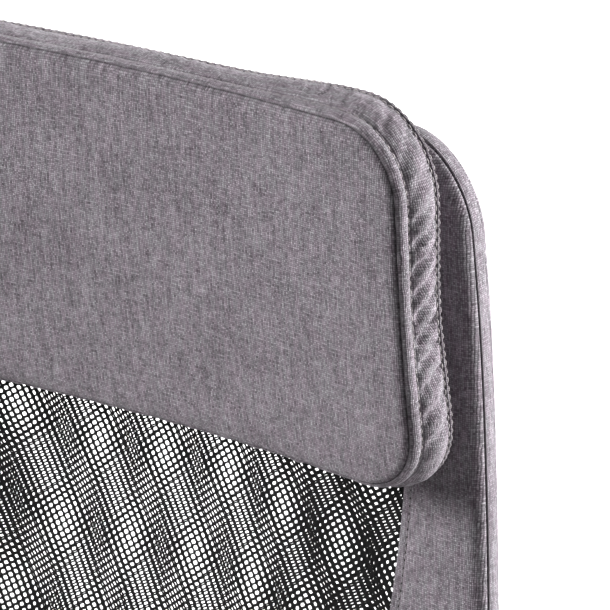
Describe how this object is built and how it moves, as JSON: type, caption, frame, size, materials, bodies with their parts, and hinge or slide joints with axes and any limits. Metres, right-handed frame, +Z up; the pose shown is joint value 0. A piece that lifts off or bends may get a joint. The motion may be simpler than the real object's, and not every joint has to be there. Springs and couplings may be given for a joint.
{
  "type": "high-back swivel chair",
  "caption": "High-back net swivel chair with cloth side strips, padded headrest, loop arms, gas lift, tilt mechanism and five-star caster base.",
  "frame": {"origin": "on the floor, under the middle of the five-star base and the gas column's axis", "axes": "+Z up, -Y the way the sitter faces, +X to the sitter's left"},
  "size_m": [0.638, 0.6, 1.184],
  "materials": {
    "cloth": "grey melange plain weave upholstery cloth",
    "net": "black polyester spacer net with small round holes",
    "black_plastic": "fine-grained black polypropylene",
    "wheel_plastic": "hard black nylon",
    "chrome": "bright chrome plate",
    "steel": "zinc-plated steel",
    "black_steel": "black powder coat",
    "plywood": "raw birch plywood"
  },
  "bodies": {
    "base": {"star_base": "chrome", "stand_tube": "black_steel", "guide_bush": "black_plastic", "dust_cover_lower": "black_plastic"},
    "caster_1": {"caster_1_hood": "black_plastic"},
    "wheels_1": {"caster_1_axle": "steel", "caster_1_wheel_left": "wheel_plastic", "caster_1_wheel_right": "wheel_plastic"},
    "caster_2": {"caster_2_hood": "black_plastic"},
    "wheels_2": {"caster_2_axle": "steel", "caster_2_wheel_left": "wheel_plastic", "caster_2_wheel_right": "wheel_plastic"},
    "caster_3": {"caster_3_hood": "black_plastic"},
    "wheels_3": {"caster_3_axle": "steel", "caster_3_wheel_left": "wheel_plastic", "caster_3_wheel_right": "wheel_plastic"},
    "caster_4": {"caster_4_hood": "black_plastic"},
    "wheels_4": {"caster_4_axle": "steel", "caster_4_wheel_left": "wheel_plastic", "caster_4_wheel_right": "wheel_plastic"},
    "caster_5": {"caster_5_hood": "black_plastic"},
    "wheels_5": {"caster_5_axle": "steel", "caster_5_wheel_left": "wheel_plastic", "caster_5_wheel_right": "wheel_plastic"},
    "rod": {"piston_rod": "steel", "thrust_bearing": "steel", "retaining_clip": "steel"},
    "lift": {"pressure_tube": "chrome", "dust_cover_upper": "black_plastic", "mechanism_housing": "black_steel", "tilt_spring": "steel"},
    "cover": {"dust_cover_middle": "black_plastic"},
    "button": {"release_button": "black_plastic"},
    "lever_pivot": {"lever_bush": "black_plastic"},
    "lever": {"lever_rod": "steel", "lever_paddle": "black_plastic"},
    "seat": {"tilt_plate": "black_steel", "tilt_pivot_pin": "steel", "tension_bolt": "steel", "seat_cushion": "cloth", "seat_board": "plywood", "back_frame": "black_steel", "upper_crossbar": "black_steel", "lower_crossbar": "black_steel", "back_bracket": "black_steel", "edging_right": "cloth", "edging_top": "cloth", "edging_left": "cloth", "edging_bottom": "cloth", "net_front": "net", "net_rear": "net", "headrest_pad": "cloth", "headrest_board": "plywood", "headrest_screw_left": "steel", "headrest_screw_right": "steel", "arm_frame_left": "chrome", "arm_frame_right": "chrome", "arm_pad_left": "black_plastic", "arm_pad_right": "black_plastic"},
    "knob": {"tension_knob": "black_plastic"}
  },
  "joints": [
    {"name": "caster_1_swivel", "type": "hinge", "parent": "base", "child": "caster_1", "pos_m": [0, -0.292, 0.06], "axis": [0, 0, 1], "continuous": true},
    {"name": "caster_1_roll", "type": "hinge", "parent": "caster_1", "child": "wheels_1", "pos_m": [0, -0.274, 0.025], "axis": [1, 0, 0], "continuous": true},
    {"name": "caster_2_swivel", "type": "hinge", "parent": "base", "child": "caster_2", "pos_m": [0.27771, -0.09023, 0.06], "axis": [0, 0, 1], "continuous": true},
    {"name": "caster_2_roll", "type": "hinge", "parent": "caster_2", "child": "wheels_2", "pos_m": [0.27771, -0.07223, 0.025], "axis": [1, 0, 0], "continuous": true},
    {"name": "caster_3_swivel", "type": "hinge", "parent": "base", "child": "caster_3", "pos_m": [0.17163, 0.23623, 0.06], "axis": [0, 0, 1], "continuous": true},
    {"name": "caster_3_roll", "type": "hinge", "parent": "caster_3", "child": "wheels_3", "pos_m": [0.17163, 0.25423, 0.025], "axis": [1, 0, 0], "continuous": true},
    {"name": "caster_4_swivel", "type": "hinge", "parent": "base", "child": "caster_4", "pos_m": [-0.17163, 0.23623, 0.06], "axis": [0, 0, 1], "continuous": true},
    {"name": "caster_4_roll", "type": "hinge", "parent": "caster_4", "child": "wheels_4", "pos_m": [-0.17163, 0.25423, 0.025], "axis": [1, 0, 0], "continuous": true},
    {"name": "caster_5_swivel", "type": "hinge", "parent": "base", "child": "caster_5", "pos_m": [-0.27771, -0.09023, 0.06], "axis": [0, 0, 1], "continuous": true},
    {"name": "caster_5_roll", "type": "hinge", "parent": "caster_5", "child": "wheels_5", "pos_m": [-0.27771, -0.07223, 0.025], "axis": [1, 0, 0], "continuous": true},
    {"name": "seat_swivel", "type": "hinge", "parent": "base", "child": "rod", "pos_m": [0, 0, 0.1], "axis": [0, 0, 1], "continuous": true},
    {"name": "seat_height", "type": "slide", "parent": "rod", "child": "lift", "axis": [0, 0, 1], "range_m": [0, 0.1]},
    {"name": "cover_slide", "type": "slide", "parent": "rod", "child": "cover", "axis": [0, 0, 1], "range_m": [0, 0.05]},
    {"name": "seat_tilt", "type": "hinge", "parent": "lift", "child": "seat", "pos_m": [0, -0.03, 0.335], "axis": [-1, 0, 0], "range_deg": [0, 15], "stiffness_Nm_per_rad": 90, "springref_deg": -28.65, "deforming": ["tilt_spring"]},
    {"name": "tension_knob_turn", "type": "hinge", "parent": "seat", "child": "knob", "pos_m": [0, -0.085, 0.25], "axis": [0, 0, 1], "continuous": true},
    {"name": "lever_lift", "type": "hinge", "parent": "lift", "child": "lever_pivot", "pos_m": [-0.0685, 0, 0.3383], "axis": [0, 1, 0], "range_deg": [0, 3.5], "stiffness_Nm_per_rad": 8, "springref_deg": -2.86},
    {"name": "lever_slide", "type": "slide", "parent": "lever_pivot", "child": "lever", "axis": [-1, 0, 0], "range_m": [0, 0.02]},
    {"name": "button_press", "type": "slide", "parent": "lift", "child": "button", "axis": [0, 0, -1], "range_m": [0, 0.0045]}
  ],
  "couplings": [
    {"joint": "cover_slide", "follows": "seat_height", "ratio": 0.5},
    {"joint": "button_press", "follows": "lever_lift", "m_per_rad": 0.068}
  ]
}
